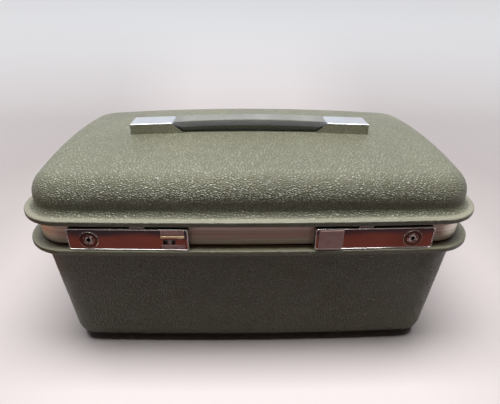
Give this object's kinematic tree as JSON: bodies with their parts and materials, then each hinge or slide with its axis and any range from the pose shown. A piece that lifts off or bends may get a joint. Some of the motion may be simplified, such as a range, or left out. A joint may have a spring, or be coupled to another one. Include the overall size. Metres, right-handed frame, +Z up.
{
  "type": "hard-shell suitcase",
  "caption": "Hinged hard-shell travel case with metal rim bands, slide latches with key locks, a lift-out tray, and a strap grip that lifts between end brackets on its lid.",
  "frame": {"origin": "on the floor under the middle of the case, level with the bottoms of its feet", "axes": "+X runs to the right along the case, +Y from its latches to its hinges, +Z up"},
  "size_m": [0.38, 0.23, 0.1978],
  "materials": {
    "shell": "leather-grained olive green moulding with a satin sheen",
    "band": "brushed along the rim",
    "chrome": "polished",
    "hinge": "satin plated",
    "steel": "plain",
    "brass": "worn",
    "pad": "matt brushed, tinted mauve",
    "lock": "plated, worn",
    "fastener": "plated",
    "grip": "dark slate grained vinyl",
    "lining": "quilted satin cloth on board",
    "tray": "moulded",
    "foot": "matt",
    "mirror": "silvered glass"
  },
  "bodies": {
    "base": {"base_shell": "shell", "base_band": "band", "base_lining": "lining", "feet": "foot", "foot_rivets": "fastener", "hinge_rivets": "fastener", "latch_rivets": "fastener", "latch_nuts": "fastener", "tray_ledges": "tray", "left_hinge_base_leaf": "hinge", "left_hinge_pin": "hinge", "left_latch_back_plate": "steel", "left_latch_cover": "chrome", "left_latch_strip": "brass", "left_lock_ring": "chrome", "right_hinge_base_leaf": "hinge", "right_hinge_pin": "hinge", "right_latch_back_plate": "steel", "right_latch_cover": "chrome", "right_latch_strip": "brass", "right_lock_ring": "chrome"},
    "lid": {"lid_shell": "shell", "lid_band": "band", "lid_lining": "lining", "hinge_screws": "fastener", "strike_screws": "fastener", "handle_nuts": "fastener", "mirror_frame": "tray", "mirror_glass": "mirror", "left_hinge_lid_leaf": "hinge", "left_strike": "steel", "left_handle_bracket": "chrome", "left_handle_backing_plate": "steel", "right_hinge_lid_leaf": "hinge", "right_strike": "steel", "right_handle_bracket": "chrome", "right_handle_backing_plate": "steel"},
    "right_bolt": {"right_latch_bolt": "steel", "right_latch_spring": "steel", "right_latch_pad": "pad"},
    "left_bolt": {"left_latch_bolt": "steel", "left_latch_spring": "steel"},
    "right_lock": {"right_lock_cylinder": "lock"},
    "left_lock": {"left_lock_cylinder": "lock"},
    "grip": {"grip_centre": "grip", "strap_centre": "steel"},
    "right_shoulder": {"right_grip_shoulder": "grip", "right_strap_shoulder": "steel"},
    "left_shoulder": {"left_grip_shoulder": "grip", "left_strap_shoulder": "steel"},
    "right_tongue": {"right_strap_tongue": "steel"},
    "left_tongue": {"left_strap_tongue": "steel"},
    "tray": {"tray": "tray"}
  },
  "joints": [
    {"name": "lid_hinge", "type": "hinge", "parent": "base", "child": "lid", "pos_m": [0, 0.10933, 0.1383], "axis": [-1, 0, 0], "range_deg": [0, 100]},
    {"name": "right_latch_slide", "type": "slide", "parent": "base", "child": "right_bolt", "axis": [0.9996, 0.0273, 0], "range_m": [0, 0.0056], "stiffness_N_per_m": 300, "springref_m": -0.005},
    {"name": "left_latch_slide", "type": "slide", "parent": "base", "child": "left_bolt", "axis": [-0.9996, 0.0273, 0], "range_m": [-0.0026, 0.003]},
    {"name": "right_lock_turn", "type": "hinge", "parent": "base", "child": "right_lock", "pos_m": [0.12799, -0.10433, 0.131], "axis": [0.0273, -0.9996, 0], "range_deg": [0, 90]},
    {"name": "left_lock_turn", "type": "hinge", "parent": "base", "child": "left_lock", "pos_m": [-0.12799, -0.10433, 0.131], "axis": [-0.0273, -0.9996, 0], "range_deg": [0, 90]},
    {"name": "handle_lift", "type": "slide", "parent": "lid", "child": "grip", "axis": [0, 0, 1], "range_m": [0, 0.02]},
    {"name": "right_grip_bend", "type": "hinge", "parent": "grip", "child": "right_shoulder", "pos_m": [0.01515, 0, 0.187], "axis": [0, 1, 0], "range_deg": [0, 19]},
    {"name": "left_grip_bend", "type": "hinge", "parent": "grip", "child": "left_shoulder", "pos_m": [-0.01515, 0, 0.187], "axis": [0, -1, 0], "range_deg": [0, 19]},
    {"name": "right_strap_bend", "type": "hinge", "parent": "right_shoulder", "child": "right_tongue", "pos_m": [0.076, 0, 0.1904], "axis": [0, -1, 0], "range_deg": [0, 19]},
    {"name": "left_strap_bend", "type": "hinge", "parent": "left_shoulder", "child": "left_tongue", "pos_m": [-0.076, 0, 0.1904], "axis": [0, 1, 0], "range_deg": [0, 19]},
    {"name": "tray_lift", "type": "slide", "parent": "base", "child": "tray", "axis": [0, 0, 1], "range_m": [0, 0.018]}
  ],
  "couplings": [
    {"joint": "right_grip_bend", "follows": "handle_lift", "rad_per_m": 16.434},
    {"joint": "left_grip_bend", "follows": "handle_lift", "rad_per_m": 16.434},
    {"joint": "right_strap_bend", "follows": "handle_lift", "rad_per_m": 16.434},
    {"joint": "left_strap_bend", "follows": "handle_lift", "rad_per_m": 16.434}
  ]
}
